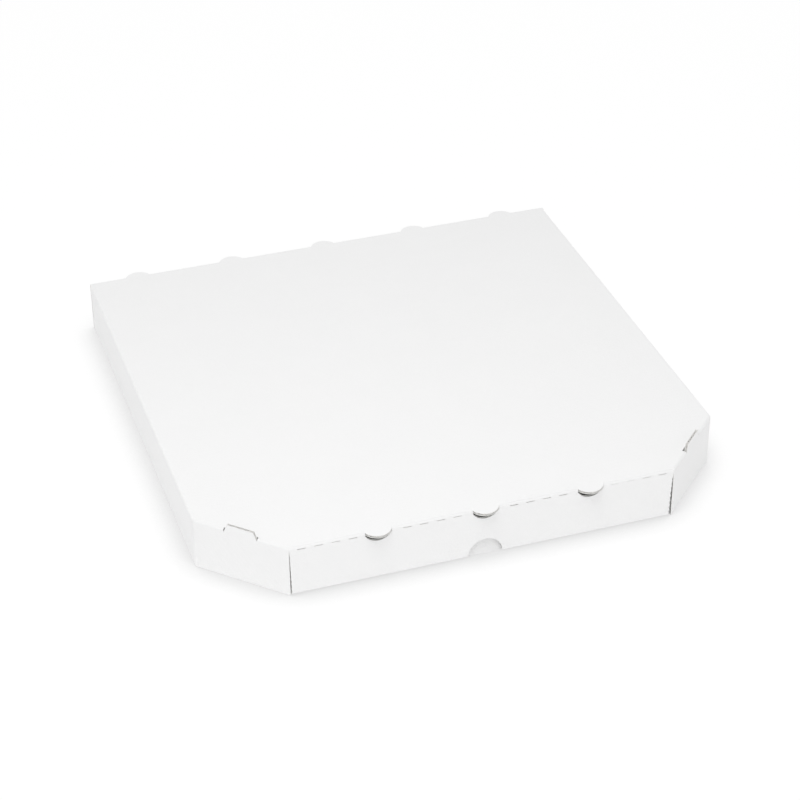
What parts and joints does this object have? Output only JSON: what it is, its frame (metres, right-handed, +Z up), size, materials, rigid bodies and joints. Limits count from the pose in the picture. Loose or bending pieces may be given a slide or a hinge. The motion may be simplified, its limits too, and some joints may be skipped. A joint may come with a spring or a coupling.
{
  "type": "pizza box",
  "caption": "Flat square carton for a pizza, with slanted front corners, a hinged lid, half-round lobes at its creases and a front flap with a thumb notch.",
  "frame": {"origin": "middle of the footprint, on the underside of the base", "axes": "+Z up through the lid; -Y is the front with the hanging flap; +X to the right as seen from the front"},
  "size_m": [0.32, 0.3295, 0.0368],
  "materials": {
    "white_board": "matt white-lined fluted board"
  },
  "bodies": {
    "tray": {"tray": "white_board"},
    "lid": {"lid": "white_board"},
    "front_flap": {"front_flap": "white_board"}
  },
  "joints": [
    {"name": "lid_hinge", "type": "hinge", "parent": "tray", "child": "lid", "pos_m": [0, 0.16, 0.0332], "axis": [-1, 0, 0], "range_deg": [0, 180]},
    {"name": "front_flap_hinge", "type": "hinge", "parent": "lid", "child": "front_flap", "pos_m": [0, -0.16, 0.0332], "axis": [-1, 0, 0], "range_deg": [0, 90]}
  ]
}
